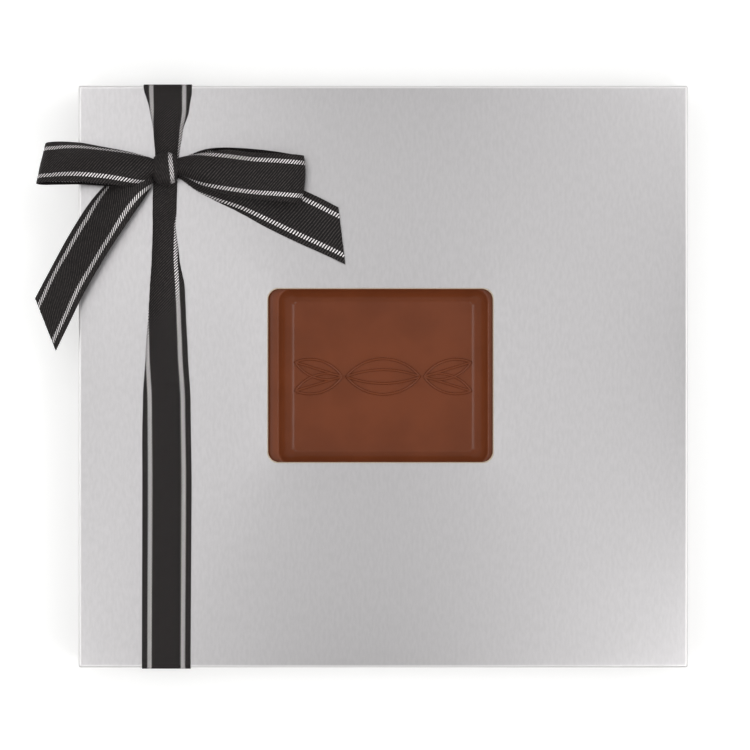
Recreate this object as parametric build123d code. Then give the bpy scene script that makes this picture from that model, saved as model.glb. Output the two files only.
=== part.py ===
from build123d import *
import os

# A flat telescoping gift carton of chocolates: foil board lid with a window over a moulded
# chocolate plaque, a ribbon and bow on the lid, and sweets in paper cups in a formed tray.
# Millimetres. +X to the right and +Y up as the lid is read, +Z up. The origin is the centre
# of the base's underside.

# Carton, with the lid on
carton_length = 222.0
carton_width = 212.0
carton_height = 28.6
board = 0.6
fold_radius = 0.9
lid_depth = 22.0
lid_clearance = 1.0         # lid wall to base wall, each side
glue_tab_reach = 14.0
glue_tab_relief = 1.5       # between a tab's ends and its wall's ends
glue_tab_slant = 3.0

# Window in the lid's top panel, a little off the centre
window_length = 82.4
window_width = 63.7
window_corner = 4.0
window_shift_x = -1.0
window_shift_y = 0.4

# Moulded plaque
plaque_length = 88.0
plaque_width = 75.5
plaque_thickness = 9.0
plaque_corner = 6.0
plaque_draft = 1.2          # each side is this much further in at the foot
plaque_edge_round = 1.0
plaque_lid_gap = 0.9
panel_length = 76.2         # crest line of the rim round the sunken panel
panel_width = 63.5
panel_corner = 4.5
panel_depth = 1.7
cove_width = 3.6            # sloping side of the panel, seen from above

# Raised line motif on the plaque: a pod between two pairs of leaves
motif_line = 0.6
motif_height = 0.4
pod_length = 27.0
pod_width = 13.0
pod_groove_width = 5.0
leaf_length = 18.0
leaf_width = 6.5
leaf_angle = 17.0
leaf_gap = 1.5              # leaf's stalk end to the pod's end

# Formed tray
tray_sheet = 0.4
tray_clearance = 0.4        # tray to the base's glue tabs
tray_margin = 4.0           # tray's edge to the outermost cells' field
cell_depth = 15.0
cell_taper = 1.7            # a cell's radius is this much less at its floor
cell_land = 1.0             # least flat between two neighbouring cells
pocket_clearance = 0.5
pocket_depth = 2.5
plinth_land = 1.3           # flat rim round the pocket
foot_radius = 8.0           # four hollow feet under the pocket
foot_taper = 2.0
foot_share = 0.28           # foot's place, as a share of the pocket's sides

# Sweets and their paper cups
sweet_diameter = 22.4
cup_paper = 0.2
cup_clearance = 0.3
cup_height = 17.0
sweet_clearance = 0.3
sweet_rise_share = 0.92     # a ball's middle above its foot, as a share of its radius

# Ribbon and bow on the lid
ribbon_width = 17.5
ribbon_thickness = 0.3
ribbon_inset = 32.1         # middle of the ribbon to the carton's left side
ribbon_bend = 0.5
ribbon_turn_in = 12.0
tape_thickness = 0.15
tape_inset = 1.0
gather_height = 1.5         # thickness of the folds under the knot
knot_inset = 30.6           # middle of the knot to the carton's top side
knot_length = 9.5
knot_width = 9.2
knot_height = 6.0
knot_crown = 2.6
knot_foot = 0.8
loop_root = 3.6             # a loop's height where the knot grips it
loop_crown = 6.8            # rise of the upper layer over the knot's middle
loop_belly = 0.5            # drop of the lower layer under the knot's middle
loop_tip = 3.4              # radius of the fold at a loop's end
loop_tip_rise = 2.0
root_overlap = 2.0          # the gripped ends run this far in before they are cut
left_loop_length = 41.0
left_loop_y = 0.5
left_loop_heading = 180.0
left_loop_tilt = 0.0
right_loop_length = 45.0
right_loop_y = 0.5
right_loop_heading = -5.7
right_loop_tilt = 6.0
tail_root_y = -1.9
tail_lift = 6.5             # highest point of the free tail above the lid
left_tail_length = 61.5
left_tail_cut = 10.8        # the tail's left edge is this much longer, at its slanted cut
left_tail_heading = -124.8
right_tail_length = 68.2
right_tail_cut = -10.9
right_tail_heading = -25.4

# Outlines of the ribbon seen from above: share of the run, then the edges on the right and
# on the left of it, as shares of the ribbon's width
band_up_shares = ((0.15, -0.25, 0.21), (0.46, -0.33, 0.26), (1.0, -0.53, 0.47))
band_down_shares = ((0.03, -0.26, 0.16), (0.11, -0.27, 0.16), (0.25, -0.33, 0.38),
                    (0.36, -0.40, 0.44), (0.46, -0.46, 0.50), (0.62, -0.50, 0.52), (1.0, -0.5, 0.5))
left_loop_shares = ((0.0, -0.19, 0.19), (0.15, -0.30, 0.37), (0.42, -0.42, 0.37), (0.63, -0.51, 0.32),
                    (1.0, -0.52, 0.34))
right_loop_shares = ((0.0, -0.14, 0.20), (0.18, -0.33, 0.34), (0.38, -0.45, 0.42), (0.6, -0.49, 0.44),
                     (1.0, -0.49, 0.50))
left_tail_shares = ((0.0, -0.14, 0.11), (0.08, -0.49, 0.14), (0.21, -0.67, 0.14), (0.46, -0.76, 0.17),
                    (0.73, -0.66, 0.30), (1.0, -0.54, 0.44))
right_tail_shares = ((0.0, -0.07, 0.13), (0.07, -0.10, 0.20), (0.14, -0.15, 0.34), (0.32, -0.17, 0.63),
                     (0.54, -0.21, 0.77), (0.75, -0.21, 0.81), (1.0, -0.21, 0.81))

# Side views of the tails: share of the run, height over the lid as a share of tail_lift
left_tail_lift_shares = ((0.0, 0.30), (0.15, 0.40), (0.4, 0.85), (0.7, 1.0), (1.0, 0.77))
right_tail_lift_shares = ((0.0, 0.30), (0.15, 0.30), (0.5, 0.26), (0.8, 0.30), (1.0, 0.42))

# Shapes of the sweets, as shares of a ball's radius
dome_foot_share = 0.72
dome_collar_share = 0.94
dome_collar_low_share = 0.50
dome_collar_high_share = 0.92
dome_crown_share = 0.82
square_side_share = 1.4
square_height_share = 1.72
square_corner_share = 0.3
square_top_share = 0.24

# Places that follow from the sizes above
lid_bottom = carton_height - lid_depth
lid_underside = carton_height - board
base_length = carton_length - 2 * (board + lid_clearance)
base_width = carton_width - 2 * (board + lid_clearance)
tray_length = base_length - 4 * board - 2 * tray_clearance
tray_width = base_width - 4 * board - 2 * tray_clearance
cell_floor = board + tray_sheet
deck_top = cell_floor + cell_depth
cell_slope = cell_taper / cell_depth
ball_radius = sweet_diameter / 2
cup_floor = cell_floor + cup_paper
cup_floor_radius = ball_radius * (1 - cell_slope * sweet_rise_share) + sweet_clearance + cup_paper
cell_floor_radius = cup_floor_radius + cup_clearance
cell_top_radius = cell_floor_radius + cell_taper
cell_wall_radius = cell_top_radius + tray_sheet
least_pitch = 2 * cell_wall_radius + cell_land
plaque_top = lid_underside - plaque_lid_gap
pocket_floor = plaque_top - plaque_thickness
pocket_length = plaque_length + 2 * pocket_clearance
pocket_width = plaque_width + 2 * pocket_clearance
pocket_corner = plaque_corner + pocket_clearance
plinth_length = pocket_length + 2 * plinth_land + 4 * tray_sheet
plinth_width = pocket_width + 2 * plinth_land + 4 * tray_sheet
plinth_top = max(pocket_floor + pocket_depth, deck_top)
knot_bottom = carton_height + gather_height
knot_middle = knot_bottom + knot_height / 2
wall_y = carton_width / 2
inner_wall_y = wall_y - board
ribbon_x = ribbon_inset - carton_length / 2
knot_y = wall_y - knot_inset


def block(length, width, low, high):
    upright = (Align.CENTER, Align.CENTER, Align.MIN)
    return Pos(0, 0, low) * Box(length, width, high - low, align=upright)


def rounded_block(length, width, corner, low, high):
    return Pos(0, 0, low) * extrude(RectangleRounded(length, width, corner), high - low)


def well(floor_radius, top_radius, low, high):
    # a round form from one height to another, tapered where its two radii differ
    upright = (Align.CENTER, Align.CENTER, Align.MIN)
    if floor_radius == top_radius:
        return Pos(0, 0, low) * Cylinder(top_radius, high - low, align=upright)
    return Pos(0, 0, low) * Cone(floor_radius, top_radius, high - low, align=upright)


# Cartons

def folded_block(length, width, height, radius):
    # closed end down, every fold rounded, rim left square
    solid = block(length, width, 0, height)
    folds = solid.edges().filter_by(Axis.Z) + solid.faces().sort_by(Axis.Z)[0].edges()
    return fillet(folds, radius)


def glue_tabs(length, width, height):
    # the four corner tabs, glued flat inside the long walls
    tab = Polyline((0, board), (0, height - glue_tab_relief),
                   (-glue_tab_reach, height - glue_tab_relief - glue_tab_slant),
                   (-glue_tab_reach, board + glue_tab_slant), close=True)
    corner_x = length / 2 - board
    corner_y = width / 2 - 2 * board
    plate = Pos(corner_x, corner_y, 0) * extrude(Plane.XZ * make_face(tab), -board)
    pair = plate + mirror(plate, Plane.YZ)
    return pair + mirror(pair, Plane.XZ)


def folded_carton(length, width, height):
    outer = folded_block(length, width, height, fold_radius)
    inner = folded_block(length - 2 * board, width - 2 * board, height, fold_radius - board)
    return outer - Pos(0, 0, board) * inner + glue_tabs(length, width, height)


def base_carton():
    return folded_carton(base_length, base_width, lid_underside)


def lid_carton():
    lid = Pos(0, 0, carton_height) * mirror(folded_carton(carton_length, carton_width, lid_depth), Plane.XY)
    opening = rounded_block(window_length, window_width, window_corner, lid_bottom, knot_bottom)
    return lid - Pos(window_shift_x, window_shift_y, 0) * opening


# Plaque

def lens(length, width):
    upper = ThreePointArc((-length / 2, 0), (0, width / 2), (length / 2, 0))
    lower = ThreePointArc((length / 2, 0), (0, -width / 2), (-length / 2, 0))
    return make_face([upper, lower])


def line_round(face):
    return face - offset(face, -motif_line)


def motif():
    pod = line_round(lens(pod_length, pod_width)) + line_round(lens(pod_length, pod_groove_width))
    leaf = line_round(lens(leaf_length, leaf_width)) + Rectangle(leaf_length, motif_line)
    leaf = Pos(leaf_length / 2, 0) * leaf
    stalk_x = pod_length / 2 + leaf_gap
    drawing = pod
    for side in (0, 180):
        for turn in (-leaf_angle, leaf_angle):
            drawing += Rot(0, 0, side) * Pos(stalk_x, 0) * Rot(0, 0, turn) * leaf
    return extrude(drawing, motif_height)


def plaque():
    foot = RectangleRounded(plaque_length - 2 * plaque_draft, plaque_width - 2 * plaque_draft,
                            plaque_corner - plaque_draft)
    rim = Pos(0, 0, plaque_thickness) * RectangleRounded(plaque_length, plaque_width, plaque_corner)
    slab = loft([foot, rim], ruled=True)
    slab = fillet(slab.faces().sort_by(Axis.Z)[-1].edges(), plaque_edge_round)
    panel_floor = plaque_thickness - panel_depth
    floor = Pos(0, 0, panel_floor) * RectangleRounded(
        panel_length - 2 * cove_width, panel_width - 2 * cove_width, panel_corner - cove_width / 2)
    crest = Pos(0, 0, plaque_thickness) * RectangleRounded(panel_length, panel_width, panel_corner)
    slab -= loft([floor, crest], ruled=True)
    slab += Pos(0, 0, panel_floor) * motif()
    return Pos(0, 0, pocket_floor) * slab


# Tray, sweets and cups

def spread(room):
    # middles of as many cells as the room takes, evenly spaced over it
    count = int(room / least_pitch)
    return [(index + 1 / 2) * room / count for index in range(count)]


def cell_places():
    # full rows above and below the plaque's plinth, short ones on both sides of it
    edge_x = tray_length / 2 - tray_margin
    edge_y = tray_width / 2 - tray_margin
    places = []
    for y in spread(2 * edge_y):
        if abs(y - edge_y) > plinth_width / 2 + cell_wall_radius:
            places += [(x - edge_x, y - edge_y) for x in spread(2 * edge_x)]
        else:
            for x in spread(edge_x - plinth_length / 2):
                places += [(x - edge_x, y - edge_y), (edge_x - x, y - edge_y)]
    return places


def tray():
    deck = block(tray_length, tray_width, board, deck_top)
    deck -= block(tray_length - 2 * tray_sheet, tray_width - 2 * tray_sheet, board, deck_top - tray_sheet)
    wall_corner = pocket_corner + tray_sheet
    hollow_corner = wall_corner + plinth_land
    sheet = deck + rounded_block(plinth_length, plinth_width, hollow_corner + tray_sheet,
                                 deck_top - tray_sheet, plinth_top)
    sheet -= rounded_block(plinth_length - 2 * tray_sheet, plinth_width - 2 * tray_sheet, hollow_corner,
                           board, plinth_top - tray_sheet)
    sheet += rounded_block(pocket_length + 2 * tray_sheet, pocket_width + 2 * tray_sheet, wall_corner,
                           pocket_floor - tray_sheet, plinth_top)
    sheet -= rounded_block(pocket_length, pocket_width, pocket_corner, pocket_floor, plinth_top)
    cells = [Pos(x, y, 0) for x, y in cell_places()]
    feet_x = foot_share * pocket_length
    feet_y = foot_share * pocket_width
    feet = [Pos(x, y, 0) for x in (-feet_x, feet_x) for y in (-feet_y, feet_y)]
    cell_wall = well(cell_floor_radius + tray_sheet, cell_wall_radius, board, deck_top)
    cell_room = well(cell_floor_radius, cell_top_radius, cell_floor, deck_top)
    foot_wall = well(foot_radius - foot_taper + tray_sheet, foot_radius + tray_sheet, board, pocket_floor)
    foot_room = well(foot_radius - foot_taper, foot_radius, cell_floor, pocket_floor)
    sheet += [place * cell_wall for place in cells] + [place * foot_wall for place in feet]
    sheet -= [place * cell_room for place in cells] + [place * foot_room for place in feet]
    return sheet


def ball_truffle():
    middle = sweet_rise_share * ball_radius
    return Pos(0, 0, middle) * Sphere(ball_radius) & block(
        2 * ball_radius, 2 * ball_radius, 0, middle + ball_radius)


def dome_truffle():
    # tapered foot, straight collar and a half ball on top
    collar_radius = dome_collar_share * ball_radius
    collar_low = dome_collar_low_share * ball_radius
    collar_high = dome_collar_high_share * ball_radius
    crown = Pos(0, 0, collar_high) * Sphere(dome_crown_share * ball_radius)
    foot = well(dome_foot_share * ball_radius, collar_radius, 0, collar_low)
    collar = well(collar_radius, collar_radius, collar_low, collar_high)
    return foot + collar + (crown & block(2 * ball_radius, 2 * ball_radius, 0, 2 * ball_radius))


def square_praline():
    side = square_side_share * ball_radius
    body = rounded_block(side, side, square_corner_share * ball_radius, 0, square_height_share * ball_radius)
    return fillet(body.faces().sort_by(Axis.Z)[-1].edges(), square_top_share * ball_radius)


def candy_cup():
    # a plain tapered cup that stands inside its cell
    rim_radius = cup_floor_radius + cell_slope * cup_height
    outside = well(cup_floor_radius, rim_radius, cell_floor, cell_floor + cup_height)
    inside = well(cup_floor_radius - cup_paper, rim_radius - cup_paper, cup_floor, cell_floor + cup_height)
    return outside - inside


def sweets(kind, shape):
    # every third cell holds the same kind
    return [Pos(x, y, cup_floor) * shape for x, y in cell_places()[kind::3]]


# Ribbon and bow

def ribbon_outline(run, shares, cut=0):
    # a strip along +X whose edges follow the shares, its left edge longer by the cut
    right = Spline(*[(share * run, right * ribbon_width) for share, right, left in shares])
    left = Spline(*[(share * (run + cut), left * ribbon_width) for share, right, left in shares])
    return make_face([right, left, Line(right @ 0, left @ 0), Line(right @ 1, left @ 1)])


def upright_prism(face):
    tall = carton_length
    return extrude(face, tall, both=True)


def band_outline():
    run_up = wall_y + ribbon_turn_in - knot_y
    run_down = wall_y + ribbon_turn_in + knot_y
    stations = [(knot_y - share * run_down, right, left)
                for share, right, left in reversed(band_down_shares)]
    stations += [(knot_y + share * run_up, -left, -right) for share, right, left in band_up_shares]
    left = Spline(*[(low * ribbon_width, y) for y, low, high in stations])
    right = Spline(*[(high * ribbon_width, y) for y, low, high in stations])
    return make_face([left, right, Line(left @ 0, right @ 0), Line(left @ 1, right @ 1)])


def rectangle_between(low_y, high_y, low_z, high_z):
    corner = (Align.MIN, Align.MIN)
    return Pos(low_y, low_z) * Rectangle(high_y - low_y, high_z - low_z, align=corner)


def band_side():
    # section across the lid, thick where the folds gather under the knot
    outside_y = wall_y + ribbon_thickness
    under_z = lid_bottom - ribbon_thickness
    tucked_y = inner_wall_y - tape_thickness
    lid_run = make_face(Polyline(
        (-outside_y, carton_height), (outside_y, carton_height),
        (outside_y, carton_height + ribbon_thickness),
        (knot_y + knot_width / 2, knot_bottom), (knot_y - knot_width / 2, knot_bottom),
        (-outside_y, carton_height + ribbon_thickness), close=True))
    section = lid_run
    for side in (Plane.XZ, None):
        strips = rectangle_between(wall_y, outside_y, under_z, carton_height + ribbon_thickness)
        strips += rectangle_between(tucked_y - ribbon_thickness, outside_y, under_z, lid_bottom)
        strips += rectangle_between(tucked_y - ribbon_thickness, tucked_y, under_z,
                                    lid_bottom + ribbon_turn_in)
        section += strips if side is None else mirror(strips, Plane.YZ)
    bends = section.vertices().filter_by(lambda v: abs(abs(v.X) - outside_y) < ribbon_thickness / 2)
    return fillet(bends, ribbon_bend)


def ribbon_band():
    strip = extrude(Plane.YZ * band_side(), 2 * ribbon_width, both=True)
    return Pos(ribbon_x, 0, 0) * (strip & upright_prism(band_outline()))


def ribbon_tapes():
    height = ribbon_turn_in - 2 * tape_inset
    width = ribbon_width - 2 * tape_inset
    tape = Box(width, tape_thickness, height, align=(Align.CENTER, Align.MAX, Align.MIN))
    tape = Pos(ribbon_x, inner_wall_y, lid_bottom + tape_inset) * tape
    return [tape, mirror(tape, Plane.XZ)]


def bow_knot():
    body = Pos(0, 0, knot_bottom) * Box(knot_length, knot_width, knot_height,
                                        align=(Align.CENTER, Align.CENTER, Align.MIN))
    long_edges = body.edges().filter_by(Axis.X).sort_by(Axis.Z)
    body = fillet(long_edges[2:], knot_crown)
    body = fillet(body.edges().filter_by(Axis.X).sort_by(Axis.Z)[:2], knot_foot)
    return Pos(ribbon_x, knot_y, 0) * body


def beside_knot(piece):
    # what the knot grips ends flat against its side
    grip = block(knot_length, 4 * ribbon_width, carton_height, knot_bottom + 2 * knot_height)
    return Pos(ribbon_x, knot_y, 0) * (piece - grip)


def loop_side(length):
    # side view of a loop, its root at the origin
    tip_x = length - loop_tip
    top = ThreePointArc((-root_overlap, loop_root / 2), (length / 2, loop_crown),
                        (tip_x, loop_tip_rise + loop_tip))
    tip = ThreePointArc(top @ 1, (length, loop_tip_rise), (tip_x, loop_tip_rise - loop_tip))
    belly = ThreePointArc(tip @ 1, (length / 2, -loop_belly), (-root_overlap, -loop_root / 2))
    face = make_face([top, tip, belly, Line(belly @ 1, top @ 0)])
    return face - offset(face, -ribbon_thickness)


def bow_loop(length, shares, heading, tilt, root_y):
    layers = extrude(Plane.XZ * loop_side(length), ribbon_width, both=True)
    outline = ribbon_outline(length, shares) + Rectangle(
        2 * root_overlap, (shares[0][2] - shares[0][1]) * ribbon_width, align=(Align.MAX, Align.CENTER))
    loop = layers & upright_prism(outline)
    side = -knot_length / 2 if abs(heading) > 90 else knot_length / 2
    return beside_knot(Pos(side, root_y, knot_middle) * Rot(0, 0, heading) * Rot(tilt, 0, 0) * loop)


def tail_side(length, shares):
    top = Spline(*[(share * length, lift * tail_lift) for share, lift in shares])
    bottom = Pos(0, -ribbon_thickness) * top
    start = Polyline(top @ 0, (-root_overlap, shares[0][1] * tail_lift),
                     (-root_overlap, shares[0][1] * tail_lift - ribbon_thickness), bottom @ 0)
    return make_face([top, bottom, start, Line(top @ 1, bottom @ 1)])


def bow_tail(length, cut, shares, lift_shares, heading):
    side_face = tail_side(max(length, length + cut), lift_shares)
    layer = extrude(Plane.XZ * side_face, 2 * ribbon_width, both=True)
    outline = ribbon_outline(length, shares, cut) + Rectangle(
        2 * root_overlap, (shares[0][2] - shares[0][1]) * ribbon_width, align=(Align.MAX, Align.CENTER))
    tail = layer & upright_prism(outline)
    side = -knot_length / 2 if abs(heading) > 90 else knot_length / 2
    return beside_knot(Pos(side, tail_root_y, carton_height) * Rot(0, 0, heading) * tail)


def save(name, shape):
    pieces = shape if isinstance(shape, list) else [shape]
    solids = [solid for piece in pieces for solid in piece.solids()]
    export_step(solids[0] if len(solids) == 1 else Compound(solids), f"parts/{name}.step")


os.makedirs("parts", exist_ok=True)
save("base_carton", base_carton())
save("lid_carton", lid_carton())
save("plaque", plaque())
save("tray", tray())
save("candy_cups", [Pos(x, y, 0) * candy_cup() for x, y in cell_places()])
save("ball_truffles", sweets(0, ball_truffle()))
save("dome_truffles", sweets(1, dome_truffle()))
save("square_pralines", sweets(2, square_praline()))
save("ribbon_band", ribbon_band())
save("ribbon_tapes", ribbon_tapes())
save("bow_knot", bow_knot())
save("bow_loop_left", bow_loop(left_loop_length, left_loop_shares, left_loop_heading, left_loop_tilt,
                               left_loop_y))
save("bow_loop_right", bow_loop(right_loop_length, right_loop_shares, right_loop_heading, right_loop_tilt,
                                right_loop_y))
save("bow_tail_left", bow_tail(left_tail_length, left_tail_cut, left_tail_shares, left_tail_lift_shares,
                               left_tail_heading))
save("bow_tail_right", bow_tail(right_tail_length, right_tail_cut, right_tail_shares, right_tail_lift_shares,
                                right_tail_heading))
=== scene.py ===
from math import asin, atan2, copysign, cos, exp, hypot, pi, radians, sin, sqrt, tan, tau

import bmesh
import bpy
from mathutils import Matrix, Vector


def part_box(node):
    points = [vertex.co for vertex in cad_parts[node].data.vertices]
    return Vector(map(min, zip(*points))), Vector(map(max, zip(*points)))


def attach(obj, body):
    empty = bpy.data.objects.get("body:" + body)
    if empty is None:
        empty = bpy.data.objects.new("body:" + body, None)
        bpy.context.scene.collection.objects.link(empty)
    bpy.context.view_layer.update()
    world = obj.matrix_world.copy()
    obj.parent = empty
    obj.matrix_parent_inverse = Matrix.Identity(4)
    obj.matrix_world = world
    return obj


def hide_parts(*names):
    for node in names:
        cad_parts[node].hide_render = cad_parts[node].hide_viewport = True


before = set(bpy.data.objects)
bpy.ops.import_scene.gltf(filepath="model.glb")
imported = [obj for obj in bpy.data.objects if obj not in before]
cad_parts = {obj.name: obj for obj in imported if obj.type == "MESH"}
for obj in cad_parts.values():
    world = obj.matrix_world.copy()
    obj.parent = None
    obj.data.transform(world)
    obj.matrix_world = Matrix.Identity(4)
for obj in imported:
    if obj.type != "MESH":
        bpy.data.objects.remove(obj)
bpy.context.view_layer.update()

mm = 0.001
lidLow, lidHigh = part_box("lid_carton")
baseLow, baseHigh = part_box("base_carton")
plaqueLow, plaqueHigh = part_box("plaque")
knotLow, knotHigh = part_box("bow_knot")
lidTop = lidHigh.z
knotPlace = Vector(((knotLow.x + knotHigh.x) / 2, (knotLow.y + knotHigh.y) / 2, lidTop))


# Small helpers for working in object and edit mode

def objectMode():
    bpy.ops.object.mode_set(mode="OBJECT")


def deselectAll():
    bpy.ops.object.select_all(action="DESELECT")


def selectOnly(piece):
    if bpy.context.object and bpy.context.object.mode != "OBJECT":
        objectMode()
    deselectAll()
    piece.select_set(True)
    bpy.context.view_layer.objects.active = piece


def editAll(piece):
    # in edit mode, with everything selected
    selectOnly(piece)
    bpy.ops.object.mode_set(mode="EDIT")
    bpy.ops.mesh.select_all(action="SELECT")


def addObject(name, data):
    piece = bpy.data.objects.new(name, data)
    bpy.context.scene.collection.objects.link(piece)
    return piece


def addBlock(name, low, high):
    # a cube primitive at its size and place, with its place in its mesh
    deselectAll()
    bpy.ops.mesh.primitive_cube_add(size=1, location=(Vector(low) + Vector(high)) / 2)
    block = bpy.context.object
    block.scale = Vector(high) - Vector(low)
    bpy.ops.object.transform_apply()
    block.name = name
    return block


def choose(piece, kind, test):
    # in edit mode, selects just the vertices, edges or faces that pass the test
    if piece.mode != "EDIT":
        selectOnly(piece)
        bpy.ops.object.mode_set(mode="EDIT")
    bpy.ops.mesh.select_mode(type=kind)
    bpy.ops.mesh.select_all(action="DESELECT")
    mesh = bmesh.from_edit_mesh(piece.data)
    for element in {"VERT": mesh.verts, "EDGE": mesh.edges, "FACE": mesh.faces}[kind]:
        if test(element):
            element.select_set(True)
    mesh.select_flush_mode()
    bmesh.update_edit_mesh(piece.data)


def paint(piece, index, test):
    # gives the faces that pass the test the material in this slot
    choose(piece, "FACE", test)
    piece.active_material_index = index
    bpy.ops.object.material_slot_assign()


def roundEdges(radius, steps):
    bpy.ops.mesh.bevel(offset=radius * mm, segments=steps, affect="EDGES")


def middle(edge):
    return (edge.verts[0].co + edge.verts[1].co) / 2


def near(a, b):
    return abs(a - b) < 0.01 * mm


def upright(edge):
    a, b = edge.verts
    return near(a.co.x, b.co.x) and near(a.co.y, b.co.y)


def turnOutwards():
    # in edit mode, points every face outwards
    bpy.ops.mesh.select_all(action="SELECT")
    bpy.ops.mesh.normals_make_consistent(inside=False)


def finishWith(piece, kind, **settings):
    # adds a modifier and applies it
    selectOnly(piece)
    modifier = piece.modifiers.new(kind.title(), kind)
    for name, value in settings.items():
        setattr(modifier, name, value)
    bpy.ops.object.modifier_apply(modifier=modifier.name)


def smooth(piece, angle):
    selectOnly(piece)
    bpy.ops.object.shade_smooth_by_angle(angle=radians(angle))


def joinInto(piece, others):
    selectOnly(piece)
    for other in others:
        other.select_set(True)
    bpy.ops.object.join()


def wear(piece, *materials):
    piece.data.materials.clear()
    for material in materials:
        piece.data.materials.append(material)


def roundLines(runs, radius, resolution):
    # round lines as one mesh; each run is its points and whether it closes
    shape = bpy.data.curves.new("lines", "CURVE")
    shape.dimensions = "3D"
    shape.bevel_depth = radius * mm
    shape.bevel_resolution = resolution
    shape.use_fill_caps = True
    for points, closes in runs:
        spline = shape.splines.new("POLY")
        spline.points.add(len(points) - 1)
        for point, place in zip(spline.points, points):
            point.co = (*place, 1)
        spline.use_cyclic_u = closes
    selectOnly(addObject("lines", shape))
    bpy.ops.object.convert(target="MESH")
    editAll(bpy.context.object)
    bpy.ops.mesh.remove_doubles(threshold=0.002 * mm)  # the conversion leaves the caps loose
    turnOutwards()
    objectMode()
    return bpy.context.object


# Studio: camera straight above the lid, softboxes over it and beside it, white paper below

studio = {
    "picture": 272.9,  # mm of the lid's top across the picture
    "centre": (-2.98, 0.58),  # mm, the point of the lid under the camera
    "cameraHeight": 1200.0,  # mm above the lid
    "cameraClip": 50.0,  # mm, what is nearer isn't seen
    "sensor": 36.0,  # mm
    "floor": 4000.0,  # mm
    "overhead": 0.05,  # light from straight above, where the camera hangs
    "horizon": 0.62,  # light from low down
    "tentRise": (0.35, 0.93),  # the sine of the heights between which one gives way to the other
    "paperGlow": 0.30,  # the white table is lit from below as well
    "nearBox": (600, 220),  # mm, how high a softbox over the lid hangs and its side
    "farBox": (1000, 400),  # mm, the same for one out to a side
    "nearLights": (  # lean from upright and turn from +X in degrees, watts
        (13, 0, 0.04), (13, 45, 0.13), (13, 180, 0.17), (13, 315, 0.10),
        (22, 135, 0.19), (22, 225, 0.11), (22, 315, 0.056),
        (32, 45, 0.52), (32, 90, 0.21), (32, 135, 0.29), (32, 225, 0.46), (32, 270, 0.10),
        (32, 315, 0.68),
    ),
    "farLights": ((42, 0, 2.2), (42, 180, 2.2)),
}


def addCamera():
    deselectAll()
    x, y = studio["centre"]
    height = lidTop + studio["cameraHeight"] * mm
    bpy.ops.object.camera_add(location=(x * mm, y * mm, height), rotation=(0, 0, 0))
    camera = bpy.context.object
    camera.data.sensor_width = studio["sensor"]
    camera.data.lens = studio["sensor"] * studio["cameraHeight"] / studio["picture"]
    camera.data.clip_start = studio["cameraClip"] * mm
    bpy.context.scene.camera = camera


def addLights():
    boxes = [(*studio["nearBox"], *light) for light in studio["nearLights"]]
    boxes += [(*studio["farBox"], *light) for light in studio["farLights"]]
    for height, side, lean, turn, watts in boxes:
        reach, turn = tan(radians(lean)), radians(turn)
        spot = Vector((reach * cos(turn), reach * sin(turn), 1)) * height * mm
        bpy.ops.object.light_add(type="AREA", location=spot)
        light = bpy.context.object
        light.name = "softbox"
        light.rotation_euler = spot.to_track_quat("Z", "Y").to_euler()
        light.data.shape = "SQUARE"
        light.data.size = side * mm
        light.data.energy = watts


addCamera()
addLights()
print("studio: camera and lights")


# Materials

def colour(hexCode):
    # an sRGB hex colour as linear red, green and blue
    parts = [int(hexCode[i:i + 2], 16) / 255 for i in (1, 3, 5)]
    return tuple(p / 12.92 if p <= 0.04045 else ((p + 0.055) / 1.055) ** 2.4 for p in parts) + (1,)


def setInputs(tree, node, values):
    # each input gets a value or another node's output
    for name, value in values.items():
        if isinstance(value, bpy.types.NodeSocket):
            tree.links.new(value, node.inputs[name])
        else:
            node.inputs[name].default_value = value


def addNode(tree, kind, inputs=None, **settings):
    node = tree.nodes.new("ShaderNode" + kind)
    for name, value in settings.items():
        setattr(node, name, value)
    setInputs(tree, node, inputs or {})
    return node


def newMaterial(name):
    material = bpy.data.materials.new(name)
    material.use_nodes = True
    tree = material.node_tree
    return material, tree, tree.nodes["Principled BSDF"]


def mixColours(tree, share, first, second):
    # two colours, each a hex code or another node's output
    first, second = (colour(c) if isinstance(c, str) else c for c in (first, second))
    return addNode(tree, "Mix", {0: share, 6: first, 7: second}, data_type="RGBA").outputs[2]


def work(tree, operation, *values):
    return addNode(tree, "Math", dict(enumerate(values)), operation=operation).outputs[0]


def splitUp(tree, vector):
    return addNode(tree, "SeparateXYZ", {0: vector}).outputs


def objectPlace(tree, size):
    # object coordinates measured in the pattern's own size, one or three values in mm
    sizes = size if isinstance(size, tuple) else (size, size, size)
    place = addNode(tree, "TexCoord").outputs["Object"]
    scale = tuple(1 / (s * mm) for s in sizes)
    return addNode(tree, "Mapping", {"Vector": place, "Scale": scale}).outputs[0]


def noise(tree, size, detail=2.0, roughness=0.5, place=None):
    # size is in mm; a place of its own, such as a cloth's, comes with a size in waves per metre
    inputs = {"Vector": place or objectPlace(tree, size), "Scale": size if place else 1.0,
              "Detail": detail, "Roughness": roughness}
    return addNode(tree, "TexNoise", inputs).outputs["Fac"]


def spread(tree, value, low, high, newLow=0.0, newHigh=1.0):
    return addNode(tree, "MapRange", {
        "Value": value, "From Min": low, "From Max": high,
        "To Min": newLow, "To Max": newHigh}, interpolation_type="SMOOTHSTEP").outputs[0]


def bump(tree, height, depth, below=None):
    # a bump whose full height is the depth in mm, over another bump's normal
    inputs = {"Height": height, "Distance": depth * mm, "Strength": 1.0}
    if below:
        inputs["Normal"] = below
    return addNode(tree, "Bump", inputs).outputs[0]


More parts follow.
